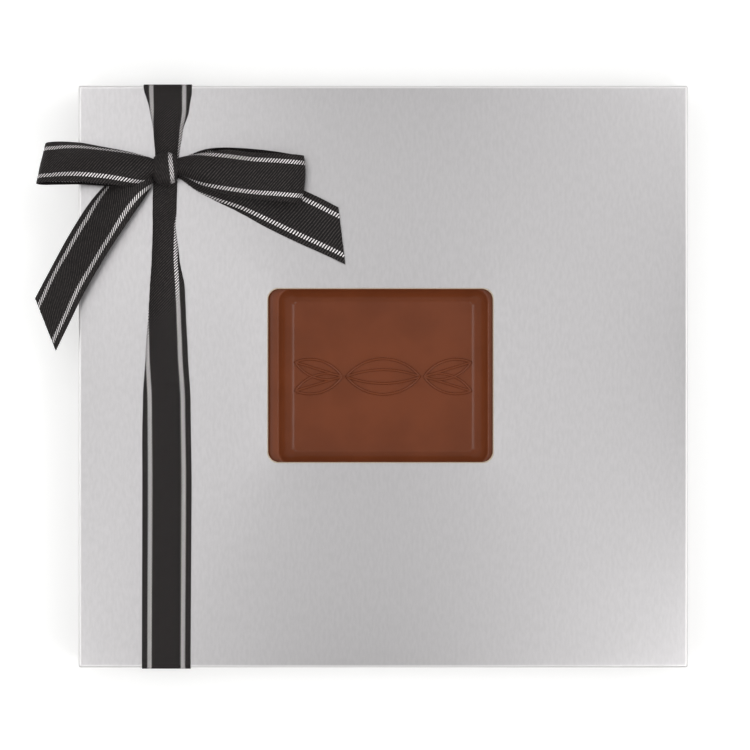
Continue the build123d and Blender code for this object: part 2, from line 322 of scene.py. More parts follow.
foilLook = {
    "silver": "#BCBABB",
    "shade": "#B6B4B5",
    "metallic": 0.90,
    "roughness": (0.29, 0.32),
    "streaks": (1.0, 3.2, 3.2),  # mm, drawn coarser than rolled foil's grain so that they show
    "streakDepth": 0.0012,
    "sway": 38.0,  # mm from one gentle wave of the board to the next
    "swayDepth": 0.12,
    "pimples": (5.0, 14.0, 5.0),  # mm between specks under the foil
    "pimpleDepth": 0.02,
    "foldHighlight": "#E6E4E4",  # painted highlight: the folds round the lid's top are drawn lighter and less metallic
    "foldHighlightMetallic": 0.55,
    "foldHighlightReach": 1.3,  # mm in from the lid's outer faces
}


def foldHighlightShare(tree):
    # how far a place lies on those folds, where the highlight is painted
    parts = splitUp(tree, addNode(tree, "TexCoord").outputs["Object"])
    reach = foilLook["foldHighlightReach"] * mm
    sides = [spread(tree, work(tree, "ABSOLUTE", parts[i]), lidHigh[i] - reach, lidHigh[i] - reach / 2)
             for i in (0, 1)]
    high = spread(tree, parts[2], lidTop - reach, lidTop - reach / 2)
    return work(tree, "MULTIPLY", work(tree, "MAXIMUM", *sides), high)


def silverFoilBoard():
    # aluminium foil laminated to carton board: satin, rolled one way, telegraphs the board under it
    material, tree, shader = newMaterial("silverFoilBoard")
    streaks = noise(tree, foilLook["streaks"], detail=3.0, roughness=0.6)
    sway = noise(tree, foilLook["sway"], detail=1.0)
    specks = noise(tree, foilLook["pimples"], detail=1.0)
    tone = mixColours(tree, spread(tree, streaks, 0.3, 0.7), foilLook["silver"], foilLook["shade"])
    # painted highlight along the folds round the lid's top: lighter colour, less metal
    foldHighlight = foldHighlightShare(tree)
    normal = bump(tree, sway, foilLook["swayDepth"])
    normal = bump(tree, spread(tree, specks, 0.70, 0.80), foilLook["pimpleDepth"], normal)
    normal = bump(tree, streaks, foilLook["streakDepth"], normal)
    setInputs(tree, shader, {
        "Base Color": mixColours(tree, foldHighlight, tone, foilLook["foldHighlight"]),
        "Metallic": spread(tree, foldHighlight, 0, 1, foilLook["metallic"], foilLook["foldHighlightMetallic"]),
        "Roughness": spread(tree, streaks, 0.2, 0.8, *foilLook["roughness"]), "Normal": normal})
    return material


boardLook = {
    "core": "#D9CBB6",
    "coreShade": "#B9A890",
    "coreFibre": (0.35, 0.35, 0.12),  # mm
    "coreDepth": 0.08,
    "inside": "#E9E5DC",
    "insideShade": "#DDD7CA",
    "insidePulp": 9.0,  # mm
    "insideFibre": 0.4,
    "insideDepth": 0.02,
}


def rawBoardCore():
    # die-cut paper board: torn fibres, cream and quite matt
    material, tree, shader = newMaterial("rawBoardCore")
    fibres = noise(tree, boardLook["coreFibre"], detail=3.0, roughness=0.7)
    share = spread(tree, fibres, 0.35, 0.7)
    setInputs(tree, shader, {
        "Base Color": mixColours(tree, share, boardLook["core"], boardLook["coreShade"]),
        "Roughness": 0.85, "Normal": bump(tree, fibres, boardLook["coreDepth"])})
    return material


def plainBoardInside():
    # the uncoated back of the carton board: off-white pulp with a faint cloud to it
    material, tree, shader = newMaterial("plainBoardInside")
    pulp = noise(tree, boardLook["insidePulp"], detail=4.0, roughness=0.6)
    fibres = noise(tree, boardLook["insideFibre"], detail=3.0, roughness=0.7)
    setInputs(tree, shader, {
        "Base Color": mixColours(tree, pulp, boardLook["inside"], boardLook["insideShade"]),
        "Roughness": 0.8, "Normal": bump(tree, fibres, boardLook["insideDepth"])})
    return material


chocolateLook = {
    "cloud": 16.0,  # mm from one faint cloud of bloom to the next
    "cloudDepth": 0.10,
    "grain": 0.5,
    "grainDepth": 0.003,
    "scuffs": (1.5, 5.0, 3.0),  # mm, hairline marks of the mould
    "scuffed": 0.02,  # how far they change the roughness
    "gloss": 0.22,
    "skin": 0.8,  # mm that light goes in
    "skinTint": (0.8, 0.35, 0.2),
}


def mouldedChocolate(name, light, dark, roughness):
    # tempered chocolate from a polished mould: satin gloss, faint clouds of bloom, hairline marks
    material, tree, shader = newMaterial(name)
    clouds = noise(tree, chocolateLook["cloud"], detail=3.0, roughness=0.55)
    grain = noise(tree, chocolateLook["grain"])
    scuffs = noise(tree, chocolateLook["scuffs"], roughness=0.6)
    scuffed = chocolateLook["scuffed"]
    soft = bump(tree, clouds, chocolateLook["cloudDepth"])
    setInputs(tree, shader, {
        "Base Color": mixColours(tree, spread(tree, clouds, 0.3, 0.7), light, dark),
        "Roughness": spread(tree, scuffs, 0.3, 0.8, roughness - scuffed, roughness + scuffed),
        "IOR": 1.5, "Specular IOR Level": chocolateLook["gloss"], "Subsurface Weight": 0.06,
        "Subsurface Radius": chocolateLook["skinTint"], "Subsurface Scale": chocolateLook["skin"] * mm,
        "Normal": bump(tree, grain, chocolateLook["grainDepth"], soft)})
    return material


def oneNoise(name, pattern, light, dark, depth, **values):
    # a material whose two tones and bumps, depth mm high, come from one noise
    material, tree, shader = newMaterial(name)
    share = noise(tree, *pattern)
    setInputs(tree, shader, {"Base Color": mixColours(tree, share, light, dark),
                             "Normal": bump(tree, share, depth), **values})
    return material


def vacuumFormedTray():
    # thin brown styrene sheet drawn over a mould: glossy, a little uneven where it stretched
    stretch = (11.0,)  # mm
    return oneNoise("vacuumFormedTray", stretch, "#3B2417", "#4A2E1E", 0.05, Roughness=0.3, IOR=1.57)


def glassineCup():
    # glassine sweet cup: dense brown paper with a slight shine and fine calender lines
    lines = ((0.4, 0.4, 5.0),)  # mm
    return oneNoise("glassineCup", lines, "#33190D", "#45251A", 0.02, Roughness=0.5, IOR=1.5)


def tissueTape():
    # double-sided tissue tape: whitish paper carrier with a dull glue film
    fibres = ((2.5, 0.3, 0.3), 3.0, 0.7)  # mm, detail and roughness
    return oneNoise("tissueTape", fibres, "#DAD6CB", "#C9C3B4", 0.02, Roughness=0.55)


def paperSweep():
    # matt white paper under the box
    material, tree, shader = newMaterial("paperSweep")
    fibres = noise(tree, 0.8)
    setInputs(tree, shader, {
        "Base Color": mixColours(tree, fibres, "#F7F7F6", "#F4F4F3"), "Roughness": 0.9,
        "Emission Color": (1, 1, 1, 1), "Emission Strength": studio["paperGlow"]})
    return material


ribbonCloth = {
    "width": 17.5,  # mm
    "thickness": 0.26,
    "stripeInset": 2.77,  # a metallic stripe's middle from the ribbon's edge
    "stripeWidth": 1.5,
    "twill": 1.03,  # mm along the ribbon from one twill line to the next
    "uneven": 0.5,  # mm that a twill line strays
    "unevenWaves": 260.0,  # per metre
    "woolWaves": 1500.0,  # per metre, the yarn's own fluff
    "ribDepth": 0.05,
    "black": "#070505",
    "blackHigh": "#433D3C",
    "silver": "#EBE6E6",
}


def stripedTwill():
    # polyester twill with metallised yarn in two stripes: matt black ribs, bright slanted stitches
    material, tree, shader = newMaterial("stripedTwill")
    cloth = addNode(tree, "UVMap", uv_map="cloth").outputs[0]
    along, across = splitUp(tree, cloth)[:2]
    uneven = noise(tree, ribbonCloth["unevenWaves"], detail=1.0, place=cloth)
    along = work(tree, "ADD", along, work(tree, "MULTIPLY", uneven, ribbonCloth["uneven"] * mm))
    ribs = work(tree, "SINE", work(tree, "MULTIPLY", along, tau / (ribbonCloth["twill"] * mm)))
    centre = ribbonCloth["width"] / 2
    fromMiddle = work(tree, "ABSOLUTE", work(tree, "SUBTRACT", across, centre * mm))
    stripeMiddle = (centre - ribbonCloth["stripeInset"]) * mm
    fromStripe = work(tree, "ABSOLUTE", work(tree, "SUBTRACT", fromMiddle, stripeMiddle))
    half = ribbonCloth["stripeWidth"] / 2 * mm
    stripe = spread(tree, fromStripe, half * 1.15, half * 0.85)
    metal = work(tree, "MULTIPLY", stripe, spread(tree, ribs, 0.05, 0.45))
    wool = noise(tree, ribbonCloth["woolWaves"], place=cloth)
    lit = work(tree, "MULTIPLY", spread(tree, ribs, -0.2, 1.0), spread(tree, wool, 0.3, 0.7, 0.35, 1.0))
    black = mixColours(tree, lit, ribbonCloth["black"], ribbonCloth["blackHigh"])
    height = work(tree, "MAXIMUM", spread(tree, ribs, -1.0, 1.0), metal)
    setInputs(tree, shader, {
        "Base Color": mixColours(tree, metal, black, ribbonCloth["silver"]),
        "Metallic": work(tree, "MULTIPLY", metal, 0.5),
        "Roughness": spread(tree, metal, 0.0, 1.0, 0.62, 0.42),
        "Specular IOR Level": 0.2, "Sheen Weight": 0.02, "Sheen Roughness": 0.4,
        "Normal": bump(tree, height, ribbonCloth["ribDepth"])})
    return material


foilBoard = silverFoilBoard()
boardCore = rawBoardCore()
boardInside = plainBoardInside()
milkChocolate = mouldedChocolate("milkChocolate", "#71391E", "#69341A", 0.23)
darkChocolate = mouldedChocolate("darkChocolate", "#3A2018", "#2E1912", 0.30)
whiteChocolate = mouldedChocolate("whiteChocolate", "#E8D3A6", "#DEC795", 0.36)
trayPlastic = vacuumFormedTray()
cupPaper = glassineCup()
tapePaper = tissueTape()
ribbonTwill = stripedTwill()
print("materials made")


def addFloor():
    deselectAll()
    bpy.ops.mesh.primitive_plane_add(size=studio["floor"] * mm, location=(0, 0, 0))
    floor = bpy.context.object
    floor.name = "paperSweepFloor"
    wear(floor, paperSweep())


def addTent():
    # a light tent: bright low down and dim straight above, where the camera looks in
    world = bpy.data.worlds.new("lightTent")
    bpy.context.scene.world = world
    world.use_nodes = True
    tree = world.node_tree
    rise = splitUp(tree, addNode(tree, "TexCoord").outputs["Generated"])[2]
    strength = spread(tree, rise, *studio["tentRise"], studio["horizon"], studio["overhead"])
    setInputs(tree, tree.nodes["Background"], {"Strength": strength, "Color": (1, 1, 1, 1)})


addFloor()
addTent()


# Cartons: a lid and a base, each folded from one sheet of board

carton = {
    "board": 0.6,  # mm
    "fold": 0.9,  # mm, outer radius of a fold
    "foldSteps": 4,
    "panelCuts": 40,
    "tabReach": 14.0,  # mm
    "tabSlant": 3.0,
    "tabGap": 1.5,  # mm, left free at the carton's open side
    "window": ((-42.2, -31.45), (40.2, 32.25)),  # mm, two of its corners
    "windowCorner": 4.0,
    "cornerSteps": 10,
    "cutLean": 0.34,  # mm, how far the cut's foot stands inside its foil edge
    "bow": 0.42,  # mm, how far the lid's top stands proud in its middle
    "swell": 0.95,  # mm more, beside the window
    "swellReach": 17.0,  # mm over which that dies away
}


def boardRise(x, y):
    # how far the lid's top stands up at a place, all in mm
    (x0, y0), (x1, y1) = carton["window"]
    away = hypot(max(x0 - x, 0, x - x1), max(y0 - y, 0, y - y1))
    wide, deep = (lidHigh.x - lidLow.x) / mm, (lidHigh.y - lidLow.y) / mm
    bow = cos(pi * x / wide) * cos(pi * y / deep)
    return max(0.0, bow) * (carton["bow"] + carton["swell"] * exp(-away / carton["swellReach"]))


def foldSheet(name, low, high, openUp):
    # a sheet folded round five sides of a block, every fold rounded and every panel in small fields
    box = addBlock(name, low, high)
    openZ = high.z if openUp else low.z
    choose(box, "FACE", lambda face: near(face.calc_center_median().z, openZ))
    bpy.ops.mesh.delete(type="ONLY_FACE")
    choose(box, "EDGE", lambda edge: not all(near(v.co.z, openZ) for v in edge.verts))
    roundEdges(carton["fold"], carton["foldSteps"])
    for axis in (0, 1):
        for cut in range(1, carton["panelCuts"]):
            bpy.ops.mesh.select_all(action="SELECT")
            bpy.ops.mesh.bisect(plane_co=low.lerp(high, cut / carton["panelCuts"]),
                                plane_no=(axis == 0, axis == 1, 0))
    objectMode()
    return box


def glueTab(corner, low, high, openUp):
    # one tab, glued flat behind the long wall next to the corner
    board, reach, slant, gap = (carton[size] * mm for size in ("board", "tabReach", "tabSlant", "tabGap"))
    sideX, sideY = corner
    outerX, outerY = high.x - board, high.y - board
    xs = sorted((sideX * outerX, sideX * (outerX - reach)))
    ys = sorted((sideY * outerY, sideY * (outerY - board)))
    zs = (low.z + (board if openUp else gap), high.z - (gap if openUp else board))
    tab = addBlock("glueTab", (xs[0], ys[0], zs[0]), (xs[1], ys[1], zs[1]))
    for z, way in ((zs[0], slant), (zs[1], -slant)):
        choose(tab, "VERT", lambda v: near(v.co.z, z) and near(v.co.x, sideX * (outerX - reach)))
        bpy.ops.transform.translate(value=(0, 0, way))
    wear(tab, foilBoard, boardCore, boardInside)
    paint(tab, 2, lambda face: abs(face.normal.y) > 0.9)
    paint(tab, 1, lambda face: abs(face.normal.y) < 0.9)
    objectMode()
    return tab


def cutWindow(lid):
    # the die's cutter, a little smaller at its foot, so that the raw edge shows from above
    (x0, y0), (x1, y1) = carton["window"]
    cutter = addBlock("windowDie", (x0 * mm, y0 * mm, lidTop - mm), (x1 * mm, y1 * mm, lidTop))
    choose(cutter, "EDGE", upright)
    roundEdges(carton["windowCorner"], carton["cornerSteps"])
    choose(cutter, "FACE", lambda face: face.normal.z < -0.9)
    inset = 2 * carton["cutLean"] / carton["board"]
    bpy.ops.transform.resize(value=(1 - inset / (x1 - x0), 1 - inset / (y1 - y0), 1),
                             center_override=((x0 + x1) / 2 * mm, (y0 + y1) / 2 * mm, lidTop - mm))
    choose(cutter, "FACE", lambda face: face.normal.z > 0.9)
    bpy.ops.mesh.extrude_region_move(TRANSFORM_OT_translate={"value": (0, 0, mm)})
    wear(cutter, boardCore)
    finishWith(lid, "BOOLEAN", operation="DIFFERENCE", solver="EXACT", object=cutter,
               material_mode="TRANSFER")
    bpy.data.objects.remove(cutter)


def makeCarton(name, node, low, high, openUp):
    box = foldSheet(name, low, high, openUp)
    fold = carton["fold"] * mm
    wear(box, foilBoard, boardCore, boardInside)
    # at each upright corner the end wall's raw edge shows beside the fold
    paint(box, 1, lambda face: abs(face.normal.z) < 0.1 and 0.4 < abs(face.normal.x) < 0.9
          and abs(face.calc_center_median().x) > high.x - fold)
    objectMode()
    finishWith(box, "SOLIDIFY", thickness=carton["board"] * mm, offset=-1, use_even_offset=True,
               material_offset=2, material_offset_rim=1)
    if not openUp:
        cutWindow(box)
        for vertex in box.data.vertices:
            if vertex.co.z > lidTop - fold:
                vertex.co.z += boardRise(vertex.co.x / mm, vertex.co.y / mm) * mm
    joinInto(box, [glueTab((x, y), low, high, openUp) for x in (-1, 1) for y in (-1, 1)])
    smooth(box, 30)
    finishWith(box, "WEIGHTED_NORMAL", keep_sharp=True)
    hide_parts(node)
    return box


lidCarton = makeCarton("lidCarton", "lid_carton", lidLow, lidHigh, False)
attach(lidCarton, "lid")
baseCarton = makeCarton("baseCarton", "base_carton", baseLow, baseHigh, True)
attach(baseCarton, "base")
print("cartons folded")


# Plaque: a moulded slab with a sunken panel and a raised line motif

plaque = {
    "corner": 6.0,  # mm, as all lengths here
    "cornerSteps": 8,
    "draft": 1.2,
    "panel": (76.2, 63.5),  # crest line of the rim
    "crestCorner": 4.5,
    "crestRound": 0.7,
    "cove": ((0, 0), (0.4, 0.9), (1.0, 2.0), (1.9, 3.1), (3.0, 4.1), (4.2, 4.95),
             (5.4, 5.6), (5.7, 5.71), (6.0, 5.74)),  # in from the crest line and down
    "coveNarrow": 0.75,  # its width at the top and bottom against the sides
    "shoulder": 0.5,  # how far the outer edge lies under the crest
    "edgeRound": 1.0,
    "roundSteps": 4,
    "line": 0.46,  # radius of a raised line
    "lineLift": 0.12,  # its middle over the panel's floor
    "pod": (27.0, 13.0),
    "podGroove": (27.0, 5.0),
    "leaf": (18.0, 6.5),
    "leafTurn": 17.0,  # degrees
    "leafGap": 1.5,
}


def lensPoints(length, width, steps=20):
    # the outline of a lens: two arcs through its tips
    rise = width / 2
    radius = (length ** 2 / 4 + rise ** 2) / (2 * rise)
    half = asin(length / 2 / radius)
    angles = [half * (1 - 2 * index / steps) for index in range(steps)]
    upper = [(radius * sin(a), radius * (cos(a) - 1) + rise) for a in angles]
    return upper + [(-x, -y) for x, y in upper]


def motifRuns(z):
    # every line of the motif at this height, as its points and whether it closes
    runs = [(lensPoints(*plaque["pod"]), True), (lensPoints(*plaque["podGroove"]), True)]
    length, width = plaque["leaf"]
    leaf = [(x + length / 2, y) for x, y in lensPoints(length, width)]
    vein = [(length * share, 0) for share in (0.0, 0.5, 0.98)]
    stalk = plaque["pod"][0] / 2 + plaque["leafGap"]
    for side in (1, -1):
        for turn in (-plaque["leafTurn"], plaque["leafTurn"]):
            c, s = cos(radians(turn)), sin(radians(turn))
            for points, closes in ((leaf, True), (vein, False)):
                runs.append(([(side * (stalk + x * c - y * s), x * s + y * c) for x, y in points], closes))
    return [([(x * mm, y * mm, z) for x, y in points], closes) for points, closes in runs]


def outlineFace(length, width, corner, z, up):
    # the rounded end face of a block, its loop of edges kept for bridging
    block = addBlock("plaqueOutline", (-length / 2, -width / 2, z - mm), (length / 2, width / 2, z))
    choose(block, "EDGE", upright)
    roundEdges(corner / mm, plaque["cornerSteps"])
    choose(block, "FACE", lambda face: face.normal.z < 0.9)
    bpy.ops.mesh.delete(type="FACE")
    if not up:
        bpy.ops.mesh.select_all(action="SELECT")
        bpy.ops.mesh.flip_normals()
    objectMode()
    return block


def onOutline(edge, outline):
    # whether an edge belongs to an outline given by its length, width, corner and height
    length, width, corner, z = outline
    point = middle(edge)
    past = max(abs(point.x) - length / 2, abs(point.y) - width / 2)
    return all(near(v.co.z, z) for v in edge.verts) and -corner / 2 < past < 0.1 * mm


def plaqueOutlines():
    # up the outside to the shoulder, then from the crest line down the cove to the floor
    size, top = plaqueHigh - plaqueLow, plaqueHigh.z
    draft, corner = plaque["draft"] * mm, plaque["corner"] * mm
    length, width = plaque["panel"]
    outlines = [(size.x - 2 * draft, size.y - 2 * draft, corner - draft, plaqueLow.z),
                (size.x, size.y, corner, top - plaque["shoulder"] * mm)]
    for inset, depth in plaque["cove"]:
        outlines.append(((length - 2 * inset) * mm, (width - 2 * inset * plaque["coveNarrow"]) * mm,
                         (plaque["crestCorner"] - inset / 2) * mm, top - depth * mm))
    return outlines


def makePlaque():
    outlines = plaqueOutlines()
    faces = [outlineFace(*outline, up=index > 0) for index, outline in enumerate(outlines)]
    slab = faces[0]
    slab.name = "chocolatePlaque"
    joinInto(slab, faces[1:])
    floorZ = outlines[-1][3]
    choose(slab, "FACE", lambda face: face.calc_center_median().z > floorZ + 0.01 * mm)
    bpy.ops.mesh.delete(type="ONLY_FACE")
    for first, second in zip(outlines, outlines[1:]):
        choose(slab, "EDGE", lambda edge: len(edge.link_faces) < 2
               and (onOutline(edge, first) or onOutline(edge, second)))
        bpy.ops.mesh.bridge_edge_loops()
    turnOutwards()
    for outline, size in ((outlines[1], plaque["edgeRound"]), (outlines[2], plaque["crestRound"])):
        choose(slab, "EDGE", lambda edge: onOutline(edge, outline)
               and edge.calc_face_angle(0) > radians(10))
        roundEdges(size, plaque["roundSteps"])
    objectMode()
    joinInto(slab, [roundLines(motifRuns(floorZ + plaque["lineLift"] * mm), plaque["line"], 2)])
    wear(slab, milkChocolate)
    smooth(slab, 50)
    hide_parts("plaque")
    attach(slab, "base")


makePlaque()
print("plaque moulded")


# Ribbon and bow. A ribbon is a strip that bends along listed stations: each gives the two
# edges that are seen, in mm from the knot's middle on the lid, and the share of the ribbon's
# width that lies between them, unless all of it does. What is left over is turned under.

ribbonMesh = {
    "across": 45,  # points from edge to edge
    "along": 1.0,  # mm between rows
    "turn": 0.34,  # mm, radius of a turned-under edge
    "secondTurn": 0.62,  # mm, the other edge lies under the first
    "rest": 0.4,  # mm over the lid within which cloth is pressed flat
}


def archAngle(chord, arc):
    # half the angle of an arc of this length over this chord, found by halving
    ratio = chord / arc
    if ratio > 0.9995:
        return 0.0
    low, high = 0.0, pi * 0.98
    for step in range(40):
        angle = (low + high) / 2
        if sin(angle) / angle > ratio:
            low = angle
        else:
            high = angle
    return angle


def turnedUnder(hidden, lean, radius, room):
    # where a point lies that is this far past the seen edge, as steps outward and upward
    turn = min(hidden / radius, pi - lean)
    angle = lean + turn
    out = radius * (sin(angle) - sin(lean))
    up = radius * (cos(angle) - cos(lean))
    rest = (hidden - radius * turn) % (2 * room)
    rest = min(rest, 2 * room - rest)  # folded back again where the ribbon is gathered
    return out + rest * cos(angle), up - rest * sin(angle)


def sectionPoints(chord, seenFrom, seenTo):
    # the ribbon's section, from its first edge to its last: steps across and upward, in mm
    width, count = ribbonCloth["width"], ribbonMesh["across"]
    arc = (seenTo - seenFrom) * width
    half = archAngle(chord, arc)
    points = []
    for index in range(count):
        place = (index / (count - 1) - seenFrom) * width
        if place < 0:
            out, up = turnedUnder(-place, half, ribbonMesh["turn"], chord)
            points.append((-out, up))
        elif place > arc:
            out, up = turnedUnder(place - arc, half, ribbonMesh["secondTurn"], chord)
            points.append((chord + out, up))
        elif half == 0:
            points.append((place / arc * chord, 0))
        else:
            radius = arc / (2 * half)
            angle = place / radius - half
            points.append((chord / 2 + radius * sin(angle), radius * (cos(angle) - cos(half))))
    return points


def middles(rows):
    return [Vector([(row[i] + row[i + 3]) / 2 for i in range(3)]) for row in rows]


def smoothRows(stations):
    # rows along the stations, on curves timed by the distance between the stations' middles
    stations = [(*station, 0.0, 1.0)[:8] for station in stations]
    spots = middles(stations)
    times = [0.0]
    for a, b in zip(spots, spots[1:]):
        times.append(times[-1] + (b - a).length)
    slopes = []
    for index in range(len(stations)):
        before, after = max(index - 1, 0), min(index + 1, len(stations) - 1)
        slopes.append([(q - p) / (times[after] - times[before])
                       for p, q in zip(stations[before], stations[after])])
    rows = []
    for index in range(len(stations) - 1):
        span = times[index + 1] - times[index]
        count = max(2, round(span / ribbonMesh["along"]))
        for step in range(count):
            s = step / count
            rows.append([
                p * (2 * s ** 3 - 3 * s ** 2 + 1) + q * (3 * s ** 2 - 2 * s ** 3)
                + m * span * (s ** 3 - 2 * s ** 2 + s) + n * span * (s ** 3 - s ** 2)
                for p, q, m, n in zip(stations[index], stations[index + 1],
                                      slopes[index], slopes[index + 1])])
    rows.append(list(stations[-1]))
    return rows


def laidOnLid(point):
    # lifts cloth that would sink into the lid's board until it lies on it
    rest = ribbonMesh["rest"] * mm
    board = lidTop + boardRise(point.x / mm, point.y / mm) * mm + ribbonCloth["thickness"] * mm
    above = point.z - board
    if above < rest:
        above = rest * exp(above / rest - 1)
    return Vector((point.x, point.y, board + above))


def trimRibbon(ribbon, first, last):
    # a straight scissor cut seen from above; what lies past it falls away
    editAll(ribbon)
    a, b = Vector((*first, 0)) * mm + knotPlace, Vector((*last, 0)) * mm + knotPlace
    normal = (b - a).cross(Vector((0, 0, 1))).normalized()
    bpy.ops.mesh.bisect(plane_co=a, plane_no=normal, clear_outer=True)
    objectMode()


def ribbonPiece(name, node, rows, lean, cut):
    # lean is the twill's angle from the ribbon's run, in degrees; cut is two points of a scissor cut
    mesh = bpy.data.meshes.new(name)
    across = ribbonMesh["across"]
    points, uses = [], []
    spots = middles(rows)
    run = 0.0
    for index, row in enumerate(rows):
        first, last = Vector(row[0:3]), Vector(row[3:6])
        along = (spots[min(index + 1, len(rows) - 1)] - spots[max(index - 1, 0)]).normalized()
        side = (last - first).normalized()
        above = along.cross(side).normalized()
        if index:
            run += (spots[index] - spots[index - 1]).length
        seenFrom, seenTo = max(row[6], 0.0), min(row[7], 1.0)
        for column, (step, up) in enumerate(sectionPoints((last - first).length, seenFrom, seenTo)):
            point = (first + side * step + above * up) * mm + knotPlace
            points.append(point if node == "ribbon_band" else laidOnLid(point))
            place = column / (across - 1) * ribbonCloth["width"]
            uses.append(((run + place / tan(radians(lean))) * mm, place * mm))
    faces = [(i * across + j, (i + 1) * across + j, (i + 1) * across + j + 1, i * across + j + 1)
             for i in range(len(rows) - 1) for j in range(across - 1)]
    mesh.from_pydata(points, [], faces)
    layer = mesh.uv_layers.new(name="cloth")
    for loop in mesh.loops:
        layer.data[loop.index].uv = uses[loop.vertex_index]
    ribbon = addObject(name, mesh)
    if cut:
        trimRibbon(ribbon, *cut)
    wear(ribbon, ribbonTwill)
    finishWith(ribbon, "SOLIDIFY", thickness=ribbonCloth["thickness"] * mm, offset=0)
    selectOnly(ribbon)
    bpy.ops.object.shade_smooth()
    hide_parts(node)
    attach(ribbon, "lid")
    return ribbon, run * mm


# Left loop: out along the top layer, round its end, back along the lower one
leftLoopStations = (
    (-2.6, 2.4, 3.6, -2.6, -2.4, 3.8, 0.24, 0.74),
    (-4.9, 3.6, 4.0, -4.9, -3.2, 4.4, 0.18, 0.79),
    (-9.3, 5.0, 4.4, -8.9, -5.4, 6.8, 0.11, 0.89),
    (-15.0, 6.4, 4.2, -14.3, -6.3, 9.4, 0.04, 0.97),
    (-22.3, 7.8, 3.6, -21.3, -5.9, 11.2),
    (-30.9, 9.4, 3.0, -30.9, -5.1, 11.6),
    (-38.0, 9.9, 2.5, -38.8, -5.0, 11.5),
    (-42.8, 9.7, 2.0, -44.8, -5.3, 10.9),
    (-43.9, 9.2, 0.9, -46.3, -5.7, 9.8),
    (-42.8, 8.6, 0.1, -44.8, -6.0, 8.4),
    (-38.0, 8.3, 0.3, -38.6, -5.9, 7.4),
    (-30.5, 8.0, 1.0, -30.5, -5.8, 7.2),
    (-21.0, 6.9, 1.3, -21.0, -6.4, 6.4, 0.02, 0.98),
    (-14.0, 5.4, 1.4, -13.5, -6.2, 4.8, 0.06, 0.95),
    (-8.8, 4.0, 1.5, -8.6, -4.8, 3.2, 0.14, 0.86),
    (-4.9, 2.6, 1.6, -4.9, -2.8, 2.0, 0.26, 0.74),
    (-2.6, 2.0, 1.6, -2.6, -2.0, 1.8, 0.30, 0.70),
)

# Right loop: nearly level, its lower layer showing past the upper edge
rightLoopStations = (
    (2.6, -2.0, 3.6, 2.6, 2.4, 3.8, 0.26, 0.75),
    (5.0, -2.3, 4.0, 5.0, 3.8, 4.2, 0.21, 0.80),
    (8.2, -3.4, 5.2, 8.6, 4.6, 5.6, 0.15, 0.84),
    (12.4, -5.8, 7.1, 13.0, 5.3, 7.6, 0.09, 0.88),
    (17.4, -7.9, 9.2, 17.8, 5.8, 9.4, 0.06, 0.93),
    (23.0, -9.4, 10.1, 23.6, 6.1, 10.2, 0.04, 0.98),
    (31.4, -10.8, 10.3, 32.2, 5.4, 10.4, 0.03, 1.0),
    (39.8, -11.7, 9.9, 41.0, 5.1, 10.0, 0.02, 1.0),
    (46.4, -12.3, 9.1, 47.6, 4.8, 9.2, 0.02, 1.0),
    (48.9, -12.5, 6.4, 50.1, 4.6, 6.4, 0.01, 1.0),
    (46.6, -12.0, 3.7, 47.8, 4.9, 3.8),
    (40.0, -10.9, 3.4, 41.0, 6.1, 3.6),
    (31.4, -9.4, 3.3, 32.2, 7.1, 3.6),
    (20.6, -7.6, 3.2, 21.1, 7.4, 3.6, 0.02, 0.97),
    (13.6, -5.6, 3.1, 14.6, 6.9, 3.7, 0.08, 0.91),
    (8.2, -3.2, 2.3, 8.6, 5.0, 3.0, 0.16, 0.82),
    (5.0, -2.2, 1.8, 5.0, 3.4, 2.2, 0.24, 0.76),
    (2.6, -1.8, 1.6, 2.6, 1.8, 1.8, 0.30, 0.72),
)

# Left tail: its inner edge stands high over the lid, and its cut end reaches past the lid's side
leftTailStations = (
    (-2.6, -0.4, 2.2, -2.6, -2.8, 2.4, 0.36, 0.62),
    (-6.3, -0.6, 1.8, -4.2, -4.3, 3.0, 0.24, 0.76),
    (-12.4, -0.9, 1.4, -5.6, -7.1, 4.2, 0.10, 0.90),
    (-19.6, -3.9, 0.9, -8.6, -11.6, 5.6, 0.01, 0.97),
    (-27.0, -11.2, 0.6, -14.2, -19.6, 7.0, 0.0, 0.97),
    (-35.0, -23.4, 0.5, -22.2, -32.3, 7.8, 0.0, 0.98),
    (-42.3, -36.7, 0.2, -29.5, -45.6, 7.9),
    (-48.4, -48.2, -0.2, -34.8, -56.3, 7.5),
    (-54.0, -59.0, -0.6, -40.8, -68.6, 7.0),
)
leftTailCut = ((-47.7, -47.0), (-39.7, -65.7))

# Right tail: lies almost flat on the lid under the right loop
rightTailStations = (
    (2.6, -2.6, 1.6, 2.6, -0.6, 1.8, 0.40, 0.62),
    (5.4, -3.2, 1.4, 6.6, -1.4, 1.8, 0.32, 0.66),
    (10.6, -7.4, 1.2, 14.0, -2.2, 1.8, 0.16, 0.72),
    (17.4, -11.1, 1.0, 23.2, -1.4, 1.7, 0.10, 0.88),
    (26.4, -15.4, 0.8, 32.8, -1.8, 1.6, 0.04, 0.97),
    (36.6, -20.9, 0.9, 43.9, -5.2, 1.6, 0.02, 1.0),
    (47.6, -26.4, 1.2, 54.6, -9.8, 1.8, 0.01, 1.0),
    (57.9, -31.2, 1.3, 64.0, -14.6, 1.9),
    (68.0, -36.0, 2.1, 74.0, -19.4, 2.6),
)
rightTailCut = ((65.1, -34.3), (62.6, -13.8))

